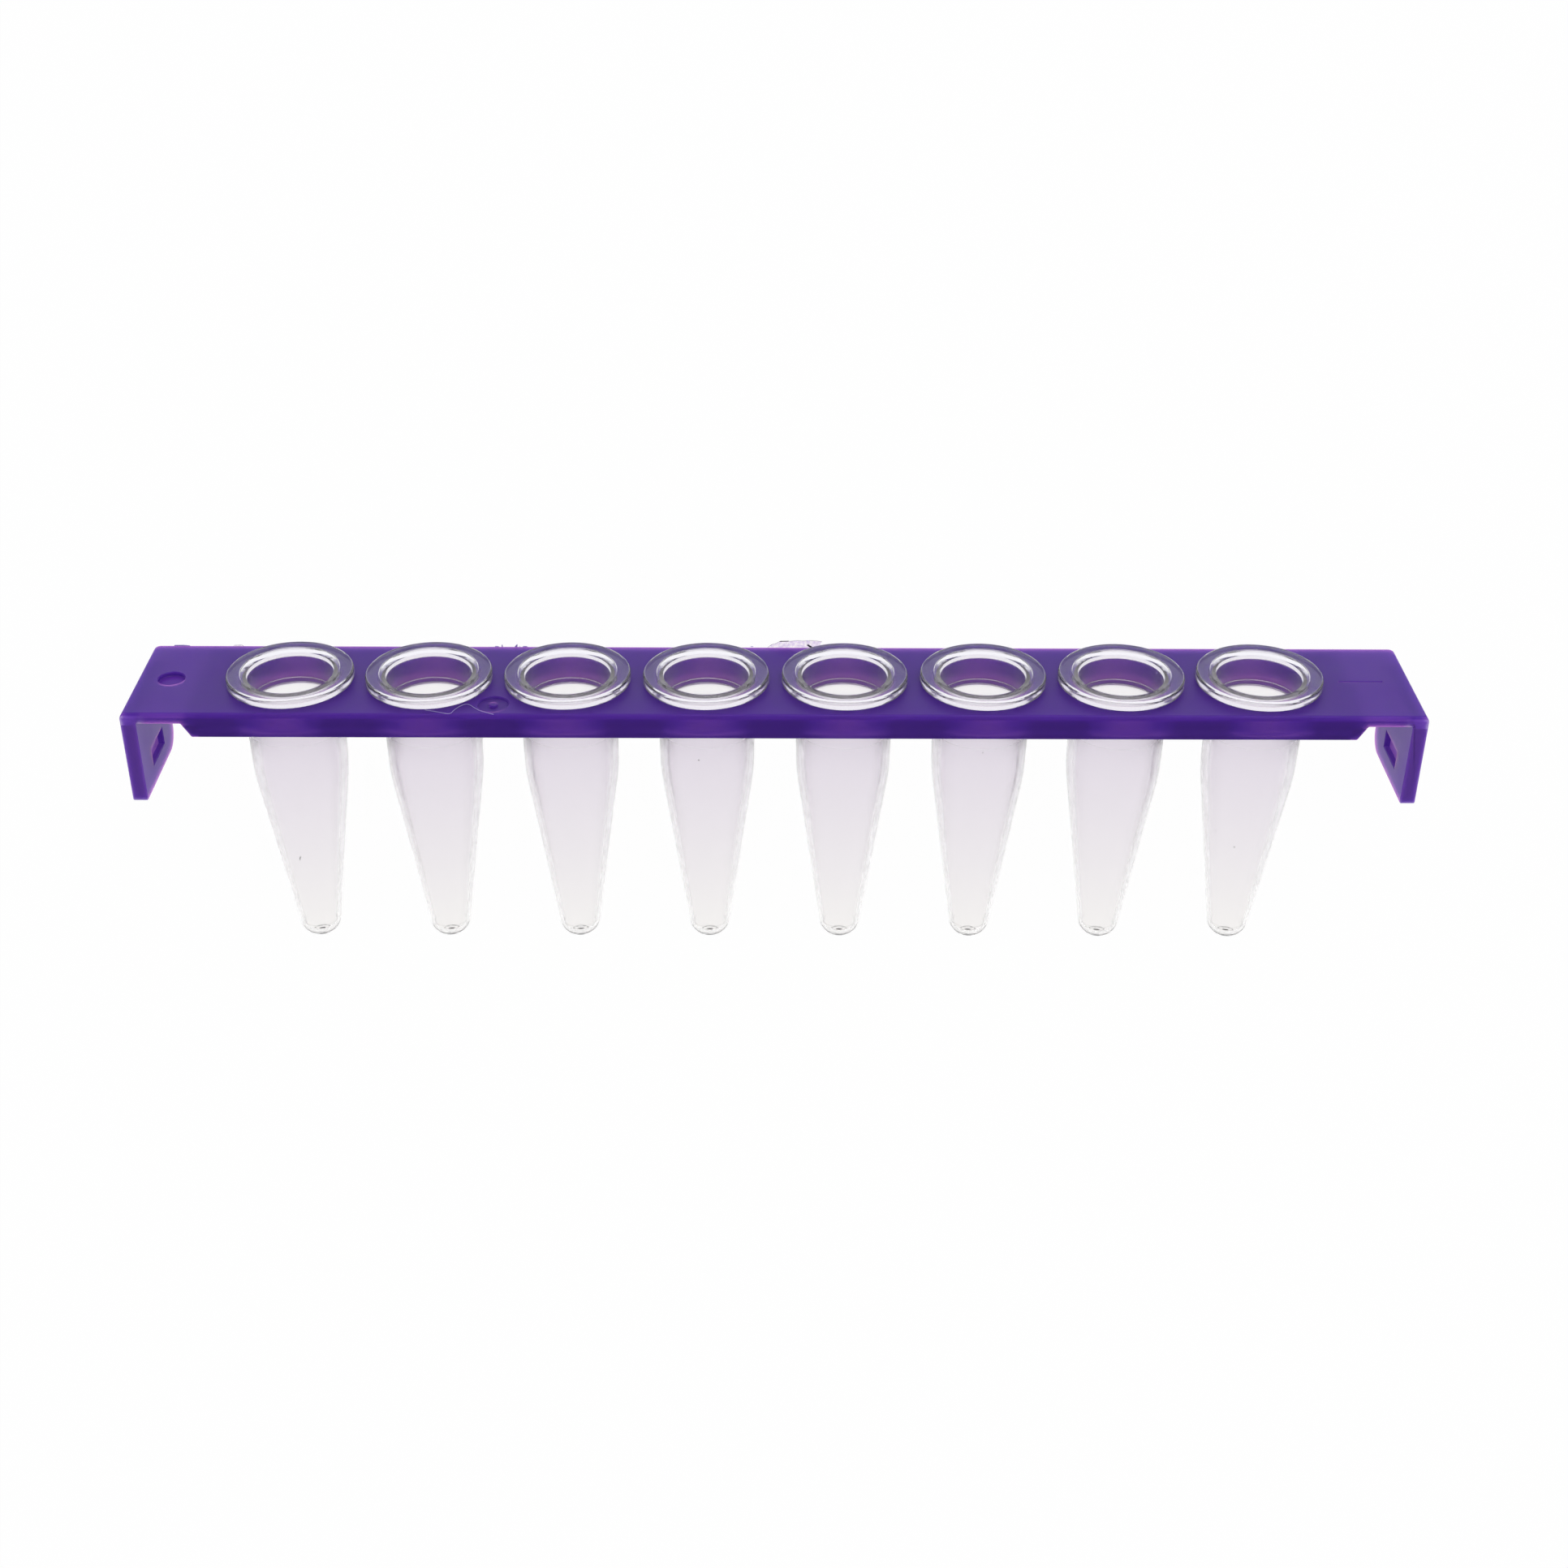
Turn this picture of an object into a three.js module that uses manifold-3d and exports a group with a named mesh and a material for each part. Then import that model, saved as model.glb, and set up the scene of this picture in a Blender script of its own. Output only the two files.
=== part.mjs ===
// A strip of eight PCR tubes: one moulded frame that carries eight thin-walled 0.2 ml tubes.
//
// Sizes are in millimetres. The strip is drawn standing: x along the row, y from front to back
// and z up, with z = 0 on the frame's top face. At the end it is laid on its back, as it comes
// to rest on the beam's lower back edge and the eight tips.

import * as THREE from "three";
import { mergeVertices } from "three/addons/utils/BufferGeometryUtils.js";
import Module from "manifold-3d";

// Row
const tubeCount = 8;
const pitch = 9;               // tube centre to tube centre
const fitGap = 0.1;            // play between tube and frame, round the neck and under the flange

// Tube; depths are measured down from its rim
const tubeHeight = 20.75;
const flangeRadius = 4.1;
const flangeThickness = 0.55;
const flangeBevel = 0.1;       // round the flange's top edge
const neckRadius = 3.2;        // just under the flange
const shoulderRadius = 3.1;    // where the neck turns into the cone
const shoulderDepth = 7.3;
const shoulderBend = 1;        // neck and cone taken up by the turn, each side of the shoulder
const shoulderWall = 0.55;
const tipRadius = 1.37;
const tipWall = 0.3;
const boreRadius = 2.75;       // straight mouth that a cap seals in
const leadInWidth = 0.45;
const leadInDepth = 0.35;
const ledgeDepth = 2;          // foot of the straight mouth
const ledgeWidth = 0.15;
const ledgeHeight = 0.3;

// Frame; heights are measured down from its top face
const frameWidth = 9.5;        // front to back
const plateThickness = 0.72;
const plateReach = 10;         // last tube centre to the plate's end
const plateCorner = 0.5;       // radius of the two back corners
const edgeWidth = 0.18;        // bevel all round the top face
const edgeDrop = 0.28;
const beamHeight = 1.68;
const beamReach = 5.6;         // last tube centre to the beam's end, at its foot
const beamLean = 0.6;          // how far the beam's end slopes out up to the plate
const collarWall = 0.6;        // low sleeve round each hole, under the beam
const collarHeight = 0.35;
const legThickness = 0.98;
const legHeight = 6.42;
const legWidth = 7.6;          // from the frame's front face back
const legCorner = 1.3;         // radius of the lower back corner

// Catch: a shallow slot in each leg's inner face
const catchFront = 2.3;        // from the frame's front face
const catchWidth = 2.85;
const catchFoot = 1.3;         // above the leg's foot
const catchHeight = 1.2;
const catchDepth = 0.4;

// Marks in the top face: a round dimple at one end, a line at the other, and the gate's dish
const dotRadius = 0.87;
const dotDepth = 0.35;
const dotInset = 2.25;         // from the plate's end
const lineLength = 2.9;
const lineWidth = 0.18;
const lineDepth = 0.1;
const lineInset = 1.9;         // from the plate's end
const gateRadius = 1;
const gateDepth = 0.15;
const gateNibRadius = 0.3;
const gateInset = 1.45;        // from the front face
const gateTube = 2;            // it lies behind this many tubes from the dimple's end

// Smoothness: sides of each round
const tubeSides = 28;
const holeSides = 36;
const markSides = 24;
const arcSteps = 2;            // steps in each bend of a section, and half those in a round end

// Joining and cutting
const cutPast = 1;             // how far a cutting tool runs past the face it enters
const mergeWithin = 1e-5;      // corners nearer than this are one

// Places that follow from the sizes
const rowHalf = (tubeCount - 1) * pitch / 2;
const plateHalf = rowHalf + plateReach;
const frontFace = -frameWidth / 2;
const rimHeight = fitGap + flangeThickness;
const tipCentre = tipRadius - tubeHeight;     // below the rim

const wasm = await Module();
wasm.setup();

// A closed geometry as a solid that can be joined and cut.
function solidOf(geometry) {
  const bare = geometry.clone();
  bare.deleteAttribute("normal");
  bare.deleteAttribute("uv");
  const merged = mergeVertices(bare, mergeWithin);
  const mesh = new wasm.Mesh({
    numProp: 3,
    vertProperties: merged.attributes.position.array,
    triVerts: new Uint32Array(merged.index.array),
  });
  return new wasm.Manifold(mesh);
}

function geometryOf(solid) {
  const mesh = solid.getMesh();
  const geometry = new THREE.BufferGeometry();
  geometry.setAttribute("position", new THREE.BufferAttribute(mesh.vertProperties, 3));
  geometry.setIndex(new THREE.BufferAttribute(mesh.triVerts, 1));
  geometry.computeVertexNormals();
  return geometry;
}

// Block between two opposite corners.
function block(one, other) {
  const size = one.map((value, axis) => Math.abs(other[axis] - value));
  const middle = one.map((value, axis) => (other[axis] + value) / 2);
  return solidOf(new THREE.BoxGeometry(...size).translate(...middle));
}

// Upright round bar between two heights.
function bar(radius, sides, x, y, bottom, top) {
  const geometry = new THREE.CylinderGeometry(radius, radius, top - bottom, sides);
  geometry.rotateX(Math.PI / 2);
  geometry.translate(x, y, (bottom + top) / 2);
  return solidOf(geometry);
}

// Section of the frame seen from its end, drawn in (y, z) and run along x from start to end.
function alongRow(section, start, end) {
  const geometry = new THREE.ExtrudeGeometry(section, {
    depth: end - start, bevelEnabled: false, curveSegments: 2 * arcSteps,
  });
  geometry.rotateX(Math.PI / 2);
  geometry.rotateZ(Math.PI / 2);
  geometry.translate(start, 0, 0);
  return solidOf(geometry);
}

// Outline seen from the front, drawn in (x, z) and run from the front face to the back face.
function frontToBack(outline) {
  const geometry = new THREE.ExtrudeGeometry(outline, { depth: frameWidth, bevelEnabled: false });
  geometry.rotateX(Math.PI / 2);
  geometry.translate(0, frameWidth / 2, 0);
  return solidOf(geometry);
}

// Lean, from upright, of the line that touches a circle on the axis and passes a point beside it.
function touchingLean(pointOut, pointAbove, radius) {
  return Math.acos(radius / Math.hypot(pointOut, pointAbove)) - Math.atan2(pointAbove, pointOut);
}

// One side of a tube, from its tip up the cone and round the shoulder to the given end point.
function wallLine(outline, radius, shoulder, end) {
  const lean = touchingLean(shoulder.x, shoulder.y - tipCentre, radius);
  const down = new THREE.Vector2(-Math.sin(lean), -Math.cos(lean)).multiplyScalar(shoulderBend);
  const up = end.clone().sub(shoulder).setLength(shoulderBend);
  const below = shoulder.clone().add(down);
  const above = shoulder.clone().add(up);
  outline.absarc(0, tipCentre, radius, -Math.PI / 2, -lean, false);
  outline.lineTo(below.x, below.y);
  outline.quadraticCurveTo(shoulder.x, shoulder.y, above.x, above.y);
  outline.lineTo(end.x, end.y);
}

// Half section of a tube: (radius, height above the rim), outside up and inside down.
function tubeSection() {
  const outside = new THREE.Path();
  const shoulder = new THREE.Vector2(shoulderRadius, -shoulderDepth);
  wallLine(outside, tipRadius, shoulder, new THREE.Vector2(neckRadius, -flangeThickness));
  outside.lineTo(flangeRadius, -flangeThickness);
  outside.lineTo(flangeRadius, -flangeBevel);
  outside.lineTo(flangeRadius - flangeBevel, 0);
  outside.lineTo(boreRadius + leadInWidth, 0);
  outside.lineTo(boreRadius, -leadInDepth);
  outside.lineTo(boreRadius, -ledgeDepth);

  const inside = new THREE.Path();
  const innerShoulder = new THREE.Vector2(shoulderRadius - shoulderWall, -shoulderDepth);
  const ledgeFoot = new THREE.Vector2(boreRadius - ledgeWidth, -ledgeDepth - ledgeHeight);
  wallLine(inside, tipRadius - tipWall, innerShoulder, ledgeFoot);
  return [...outside.getPoints(arcSteps), ...inside.getPoints(arcSteps).reverse()];
}

function tubeGeometry() {
  const section = tubeSection();
  section[0].x = 0;
  section[section.length - 1].x = 0;
  const geometry = new THREE.LatheGeometry(section, tubeSides);
  geometry.rotateX(Math.PI / 2);
  return geometry;
}

// Thin plate, its top face bevelled all round and its two back corners rounded.
function plate() {
  const back = frameWidth / 2;
  const outline = new THREE.Shape();
  outline.moveTo(-plateHalf, -back);
  outline.lineTo(plateHalf, -back);
  outline.absarc(plateHalf - plateCorner, back - plateCorner, plateCorner, 0, Math.PI / 2, false);
  outline.absarc(plateCorner - plateHalf, back - plateCorner, plateCorner, Math.PI / 2, Math.PI, false);
  const geometry = new THREE.ExtrudeGeometry(outline, {
    depth: plateThickness,
    bevelThickness: edgeDrop,
    bevelSize: edgeWidth,
    bevelOffset: -edgeWidth,
    bevelSegments: 1,
    curveSegments: 2 * arcSteps,
  });
  geometry.translate(0, 0, -plateThickness - edgeDrop);
  const keep = block(
    [-plateHalf - cutPast, -back - cutPast, -plateThickness],
    [plateHalf + cutPast, back + cutPast, cutPast],
  );
  return solidOf(geometry).intersect(keep);
}

// Thick beam under the plate that the tubes hang in; both its ends slope.
function beam() {
  const foot = rowHalf + beamReach;
  const inPlate = (plateThickness + edgeDrop) / 2;     // its top lies inside the plate
  const slope = beamLean / (beamHeight - plateThickness);
  const head = foot + slope * (beamHeight - inPlate);
  const outline = new THREE.Shape();
  outline.moveTo(-foot, -beamHeight);
  outline.lineTo(foot, -beamHeight);
  outline.lineTo(head, -inPlate);
  outline.lineTo(-head, -inPlate);
  return frontToBack(outline);
}

// Leg under one end of the plate, with the catch in its inner face. side is -1 or 1.
function leg(side) {
  const back = frontFace + legWidth;
  const section = new THREE.Shape();
  section.moveTo(frontFace, -legHeight);
  section.lineTo(back - legCorner, -legHeight);
  section.absarc(back - legCorner, legCorner - legHeight, legCorner, -Math.PI / 2, 0, false);
  section.lineTo(back, -edgeDrop);
  section.lineTo(frontFace, -edgeDrop);
  const outer = side * plateHalf;
  const inner = outer - side * legThickness;
  const slotFront = frontFace + catchFront;
  const slotFoot = catchFoot - legHeight;
  const slot = block(
    [inner - side * cutPast, slotFront, slotFoot],
    [inner + side * catchDepth, slotFront + catchWidth, slotFoot + catchHeight],
  );
  return alongRow(section, Math.min(inner, outer), Math.max(inner, outer)).subtract(slot);
}

function tubeX(index) {
  return index * pitch - rowHalf;
}

function frameGeometry() {
  const holeRadius = neckRadius + fitGap;
  const collarFoot = -beamHeight - collarHeight;
  let frame = plate().add(beam()).add(leg(-1)).add(leg(1));
  for (let index = 0; index < tubeCount; index++) {
    const x = tubeX(index);
    frame = frame.add(bar(holeRadius + collarWall, holeSides, x, 0, collarFoot, -plateThickness));
    frame = frame.subtract(bar(holeRadius, holeSides, x, 0, collarFoot - cutPast, cutPast));
  }
  const dot = bar(dotRadius, markSides, dotInset - plateHalf, 0, -dotDepth, cutPast);
  const lineEnd = plateHalf - lineInset;
  const line = block([lineEnd - lineLength, -lineWidth / 2, -lineDepth], [lineEnd, lineWidth / 2, cutPast]);
  const gateX = tubeX(gateTube) - pitch / 2;
  const gateY = frontFace + gateInset;
  const nib = bar(gateNibRadius, markSides, gateX, gateY, -gateDepth - cutPast, cutPast);
  const dish = bar(gateRadius, markSides, gateX, gateY, -gateDepth, cutPast).subtract(nib);
  return geometryOf(frame.subtract(dot).subtract(line).subtract(dish));
}

const frameMaterial = new THREE.MeshStandardMaterial({ color: 0x54428c, roughness: 0.35, metalness: 0 });
const tubeMaterial = new THREE.MeshStandardMaterial({
  color: 0xf1eff5, roughness: 0.15, metalness: 0, transparent: true, opacity: 0.35,
});

const strip = new THREE.Group();
const frame = new THREE.Mesh(frameGeometry(), frameMaterial);
frame.name = "frame";
strip.add(frame);
const tube = tubeGeometry();
for (let index = 0; index < tubeCount; index++) {
  const mesh = new THREE.Mesh(tube, tubeMaterial);
  mesh.name = `tube_${index + 1}`;
  mesh.position.set(tubeX(index), 0, rimHeight);
  strip.add(mesh);
}

// Lay the strip on its back: the floor touches the beam's lower back edge and the rounded tips.
const tipCentreHeight = rimHeight + tipCentre;
const restLean = touchingLean(frameWidth / 2, -beamHeight - tipCentreHeight, tipRadius);
strip.rotation.x = restLean - Math.PI / 2;
const box = new THREE.Box3().setFromObject(strip, true);
strip.position.set(0, -(box.min.y + box.max.y) / 2, -box.min.z);

const part = new THREE.Group();
part.add(strip);
export default part;
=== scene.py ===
import math

import bmesh
import bpy
from mathutils import Matrix, Vector


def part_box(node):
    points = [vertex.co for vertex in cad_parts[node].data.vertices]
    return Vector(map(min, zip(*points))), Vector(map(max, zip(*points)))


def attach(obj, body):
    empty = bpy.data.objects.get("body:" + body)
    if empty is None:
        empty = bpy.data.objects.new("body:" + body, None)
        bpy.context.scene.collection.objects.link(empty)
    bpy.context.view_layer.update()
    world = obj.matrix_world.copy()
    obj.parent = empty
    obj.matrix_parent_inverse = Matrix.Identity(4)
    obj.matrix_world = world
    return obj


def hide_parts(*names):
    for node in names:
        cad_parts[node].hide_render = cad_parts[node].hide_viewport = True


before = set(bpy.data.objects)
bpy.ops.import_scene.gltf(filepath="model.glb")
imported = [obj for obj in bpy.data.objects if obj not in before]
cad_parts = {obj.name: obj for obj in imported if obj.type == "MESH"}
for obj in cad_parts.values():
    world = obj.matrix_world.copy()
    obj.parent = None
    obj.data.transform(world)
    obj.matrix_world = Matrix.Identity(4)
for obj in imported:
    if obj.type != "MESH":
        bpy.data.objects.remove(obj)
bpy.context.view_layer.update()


# Frame
# The real one is a single injection moulding in purple polypropylene: a thin plate, a thick
# beam under it that grips the tubes, and a leg at each end with a shallow catch slot inside.
# It is drawn standing, with z = 0 on the plate's top face, and laid on its back at the end.

mm = 0.001
tube_names = sorted(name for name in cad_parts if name.startswith("tube_"))
tube_count = len(tube_names)


def middle_x(node):
    low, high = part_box(node)
    return (low.x + high.x) / 2


first_tube = middle_x(tube_names[0])
pitch = (middle_x(tube_names[-1]) - first_tube) / (tube_count - 1)
frame_low, frame_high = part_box("frame")
plate_half = (frame_high.x - frame_low.x) / 2

frame_width = 9.5 * mm
front = -frame_width / 2
back = frame_width / 2
plate_thickness = 0.72 * mm
plate_corner = 0.5 * mm
edge_width = 0.18 * mm              # bevel round the top of the plate
edge_drop = 0.28 * mm
beam_height = 1.68 * mm             # from the plate's top to the beam's foot
beam_overhang = 5.6 * mm            # the beam's foot past the axis of the last tube
beam_lean = 0.6 * mm
collar_radius = 3.9 * mm            # low sleeve round each hole, under the beam
collar_height = 0.35 * mm
hole_radius = 3.3 * mm
hole_round = 0.08 * mm
leg_thickness = 0.98 * mm
leg_height = 6.42 * mm
leg_width = 7.6 * mm
leg_corner = 1.3 * mm
catch_front = 2.3 * mm              # catch slot, from the front and from the leg's foot
catch_foot = 1.3 * mm
catch_width = 2.85 * mm
catch_height = 1.2 * mm
catch_depth = 0.4 * mm
catch_lip = 0.06 * mm
dot_radius = 0.87 * mm              # round dimple near one end of the plate
dot_depth = 0.3 * mm
dot_inset = 2.25 * mm
line_length = 2.9 * mm              # fine groove near the other end
line_width = 0.18 * mm
line_depth = 0.1 * mm
line_inset = 1.9 * mm
gate_radius = 1 * mm                # dish where the plastic was let in, with a nib left in it
gate_depth = 0.15 * mm
gate_nib_radius = 0.3 * mm
gate_x = first_tube + 1.5 * pitch
gate_inset = 1.45 * mm
mark_lip = 0.05 * mm                # soft rim of the dimple and the dish
moulded_round = 0.09 * mm           # what the mould leaves on every outer edge
overrun = 1 * mm                    # how far a cutting tool runs past the face it enters
hole_sides = 96
dot_sides = 64
gate_sides = 48


def arc(centre, radius, start, end, steps):
    """Points of an arc in a plane, from one angle to another, in degrees."""
    turns = [math.radians(start + (end - start) * step / steps) for step in range(steps + 1)]
    return [(centre[0] + radius * math.cos(t), centre[1] + radius * math.sin(t)) for t in turns]


def skinned(form, rings):
    """Adds the solid whose skin runs from ring to ring of corners and closes both ends."""
    form.faces.new(rings[0])
    form.faces.new(rings[-1])
    for lower, upper in zip(rings, rings[1:]):
        for index in range(len(lower)):
            form.faces.new((lower[index - 1], lower[index], upper[index], upper[index - 1]))


def prism(form, outline, reach):
    """Adds the solid between a flat outline and its copy moved by reach."""
    near = [form.verts.new(point) for point in outline]
    far = [form.verts.new(Vector(point) + Vector(reach)) for point in outline]
    skinned(form, [near, far])


def turned(form, section, sides, x=0, y=0):
    """Adds the solid that a half section of (radius, height) sweeps round an upright axis.
    The section starts and ends on the axis, or closes on itself."""
    on_axis = section[0][0] == 0
    rings = []
    for radius, height in section:
        if radius == 0:
            rings.append([form.verts.new((x, y, height))] * sides)
            continue
        turns = [2 * math.pi * side / sides for side in range(sides)]
        rings.append([
            form.verts.new((x + radius * math.cos(t), y + radius * math.sin(t), height)) for t in turns
        ])
    pairs = list(zip(rings, rings[1:]))
    if not on_axis:
        pairs.append((rings[-1], rings[0]))
    for lower, upper in pairs:
        for side in range(sides):
            corners = [lower[side - 1], lower[side], upper[side], upper[side - 1]]
            form.faces.new(list(dict.fromkeys(corners)))


def solid(name, form):
    """A mesh object from a form, with its faces pointing out."""
    bmesh.ops.recalc_face_normals(form, faces=form.faces)
    mesh = bpy.data.meshes.new(name)
    form.to_mesh(mesh)
    form.free()
    piece = bpy.data.objects.new(name, mesh)
    bpy.context.scene.collection.objects.link(piece)
    return piece


def applied(piece):
    """Turns what the piece's modifiers make into its plain mesh, and takes them off."""
    bpy.context.view_layer.update()
    shaped = piece.evaluated_get(bpy.context.evaluated_depsgraph_get())
    mesh = bpy.data.meshes.new_from_object(shaped)
    piece.modifiers.clear()
    piece.data = mesh
    mesh.name = piece.name
    return piece


def joined(piece, other, operation):
    """Joins another solid to a piece or cuts it out, and removes it once that is done."""
    step = piece.modifiers.new(operation, "BOOLEAN")
    step.operation = operation
    step.solver = "EXACT"
    step.object = other
    applied(piece)
    bpy.data.objects.remove(other)


def plate():
    form = bmesh.new()
    rings = []
    for inset, height in ((0, -plate_thickness), (0, -edge_drop), (edge_width, 0)):
        x, y, radius = plate_half - inset, back - inset, plate_corner - inset
        outline = [(-x, front + inset), (x, front + inset)]
        outline += arc((x - radius, y - radius), radius, 0, 90, 6)
        outline += arc((radius - x, y - radius), radius, 90, 180, 6)
        rings.append([form.verts.new((*point, height)) for point in outline])
    skinned(form, rings)
    return solid("frame_plate", form)


def beam():
    top = -(plate_thickness + edge_drop) / 2
    foot = beam_overhang - first_tube
    head = foot + beam_lean / (beam_height - plate_thickness) * (beam_height + top)
    outline = [(-foot, front, -beam_height), (foot, front, -beam_height)]
    outline += [(head, front, top), (-head, front, top)]
    form = bmesh.new()
    prism(form, outline, (0, frame_width, 0))
    return solid("frame_beam", form)


def leg(side):
    rear = front + leg_width
    outer = side * plate_half
    inner = outer - side * leg_thickness
    outline = [(front, -edge_drop), (front, -leg_height)]
    outline += arc((rear - leg_corner, leg_corner - leg_height), leg_corner, -90, 0, 10)
    outline.append((rear, -edge_drop))
    form = bmesh.new()
    prism(form, [(inner, *point) for point in outline], (outer - inner, 0, 0))
    return solid("frame_leg", form)


def collars():
    form = bmesh.new()
    foot = -beam_height - collar_height
    section = [(0, foot), (collar_radius, foot)]
    section += [(collar_radius, -plate_thickness), (0, -plate_thickness)]
    for index in range(tube_count):
        turned(form, section, hole_sides, first_tube + index * pitch)
    return solid("frame_collars", form)


def hole_section():
    """Half section of a hole for a tube, with both of its rims rounded over."""
    rim = hole_radius + hole_round
    foot = -beam_height - collar_height
    section = [(0, foot - overrun), (rim + overrun, foot - overrun), (rim, foot)]
    section += arc((rim, foot + hole_round), hole_round, 270, 180, 3)[1:]
    section += arc((rim, -hole_round), hole_round, 180, 90, 3)
    return section + [(rim + overrun, overrun), (0, overrun)]


def dot_section():
    section = [(0, -dot_depth), (dot_radius - mark_lip, -dot_depth)]
    section += [(dot_radius, mark_lip - dot_depth), (dot_radius, -mark_lip), (dot_radius + mark_lip, 0)]
    return section + [(dot_radius + mark_lip + overrun, overrun), (0, overrun)]


def gate_section():
    """Half section of the dish, which leaves the nib standing in its middle."""
    nib = gate_nib_radius
    section = [(nib, -gate_depth), (gate_radius - mark_lip, -gate_depth)]
    section += [(gate_radius, mark_lip - gate_depth), (gate_radius, -mark_lip), (gate_radius + mark_lip, 0)]
    section += [(gate_radius + mark_lip + overrun, overrun), (nib - mark_lip, overrun)]
    return section + [(nib - mark_lip, -mark_lip), (nib, -2 * mark_lip)]


def catch_rings(form, side):
    """Corners of the catch slot in one leg: outside the leg's inner face, at its rim, at its floor."""
    face = side * (plate_half - leg_thickness)
    rings = []
    for inset, depth in ((-overrun, -overrun), (0, catch_lip), (0, catch_depth)):
        x = face + side * depth
        near = front + catch_front + inset
        far = front + catch_front + catch_width - inset
        low = catch_foot - leg_height + inset
        high = catch_foot - leg_height + catch_height - inset
        ring = [(x, near, low), (x, far, low), (x, far, high), (x, near, high)]
        rings.append([form.verts.new(point) for point in ring])
    return rings


def frame_cuts():
    """Every hole and mark in the frame, as the tools that leave them."""
    form = bmesh.new()
    for index in range(tube_count):
        turned(form, hole_section(), hole_sides, first_tube + index * pitch)
    turned(form, dot_section(), dot_sides, dot_inset - plate_half)
    turned(form, gate_section(), gate_sides, gate_x, front + gate_inset)
    end = plate_half - line_inset
    half = line_width / 2
    outline = [(end, half, 0), (end, half, overrun), (end, -half, overrun), (end, -half, 0)]
    prism(form, outline + [(end, 0, -line_depth)], (-line_length, 0, 0))
    for side in (-1, 1):
        skinned(form, catch_rings(form, side))
    return solid("frame_cuts", form)


tube_height = 20.75 * mm
rim_height = 0.65 * mm              # the tubes' mouths above the plate
tip_radius = 1.37 * mm
tip_centre = rim_height + tip_radius - tube_height


def laid():
    """The move from the standing strip to the strip on its back, on the beam's lower back edge
    and the rounded tips."""
    above = -beam_height - tip_centre
    lean = math.acos(tip_radius / math.hypot(back, above)) - math.atan2(above, back)
    turn = Matrix.Rotation(lean - math.pi / 2, 4, "X")
    corner = turn @ Vector((0, front, -leg_height))
    edge = turn @ Vector((0, back, -beam_height))
    return Matrix.Translation((0, frame_low.y - corner.y, frame_low.z - edge.z)) @ turn


lie = laid()
moulding = plate()
joined(moulding, beam(), "UNION")
joined(moulding, leg(-1), "UNION")
joined(moulding, leg(1), "UNION")
joined(moulding, collars(), "UNION")
soften = moulding.modifiers.new("moulded edges", "BEVEL")
soften.width = moulded_round
soften.segments = 3
soften.limit_method = "ANGLE"
soften.angle_limit = math.radians(25)
soften.use_clamp_overlap = False
applied(moulding)
joined(moulding, frame_cuts(), "DIFFERENCE")
moulding.data.shade_smooth()
moulding.data.set_sharp_from_angle(angle=math.radians(40))
weigh = moulding.modifiers.new("even faces", "WEIGHTED_NORMAL")
weigh.keep_sharp = True
weigh.weight = 100
applied(moulding)
moulding.name = "frame_moulding"
moulding.data.name = "frame_moulding"
moulding.data.transform(lie)


def linear(colour):
    """An sRGB hex colour as the linear colour that a shader takes."""
    parts = [int(colour[index:index + 2], 16) / 255 for index in (0, 2, 4)]
    return [p / 12.92 if p <= 0.04045 else ((p + 0.055) / 1.055) ** 2.4 for p in parts] + [1]


def add(tree, kind, settings=(), links=()):
    """Adds a node to a tree. A setting goes to the property or the socket of that name, and a
    link brings another node's output to a socket."""
    node = tree.nodes.new(kind)

    def socket(name):
        return next(s for s in node.inputs if s.enabled and name in (s.name, s.identifier))

    for name, value in dict(settings).items():
        if name in node.bl_rna.properties:
            setattr(node, name, value)
        else:
            socket(name).default_value = value
    for name, source in dict(links).items():
        tree.links.new(source, socket(name))
    return node


def material(name):
    made = bpy.data.materials.new(name)
    made.use_nodes = True
    made.node_tree.nodes.clear()
    return made, made.node_tree


polypropylene_ior = 1.49


def even_plastic(name, colour, roughness, shine=0.5):
    """A polypropylene with the same colour and sheen all over."""
    made, tree = material(name)
    plastic = add(tree, "ShaderNodeBsdfPrincipled", {
        "Base Color": linear(colour), "Roughness": roughness, "IOR": polypropylene_ior,
        "Specular IOR Level": shine,
    })
    add(tree, "ShaderNodeOutputMaterial", {}, {"Surface": plastic.outputs["BSDF"]})
    return made


def standing_place(tree):
    """Places on the strip as it was drawn, standing, counted from the first tube's axis."""
    place = add(tree, "ShaderNodeTexCoord").outputs["Object"]
    stand = lie.inverted()
    settings = {
        "Location": stand.to_translation() - Vector((first_tube, 0, 0)), "Rotation": stand.to_euler(),
    }
    return add(tree, "ShaderNodeMapping", settings, {"Vector": place}).outputs["Vector"]


def off_axis(tree, way):
    """Distance from the nearest tube's axis."""
    half_on = add(tree, "ShaderNodeMath", {"operation": "ADD", "Value_001": pitch / 2}, {
        "Value": way["X"],
    })
    counted = add(tree, "ShaderNodeMath", {"operation": "SNAP", "Value_001": pitch}, {
        "Value": half_on.outputs["Value"],
    })
    nearest = add(tree, "ShaderNodeClamp", {"Min": 0, "Max": (tube_count - 1) * pitch}, {
        "Value": counted.outputs["Value"],
    })
    beside = add(tree, "ShaderNodeMath", {"operation": "SUBTRACT"}, {
        "Value": way["X"], "Value_001": nearest.outputs["Result"],
    })
    flat = add(tree, "ShaderNodeCombineXYZ", {}, {"X": beside.outputs["Value"], "Y": way["Y"]})
    length = add(tree, "ShaderNodeVectorMath", {"operation": "LENGTH"}, {"Vector": flat.outputs["Vector"]})
    return length.outputs["Value"]


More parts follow.
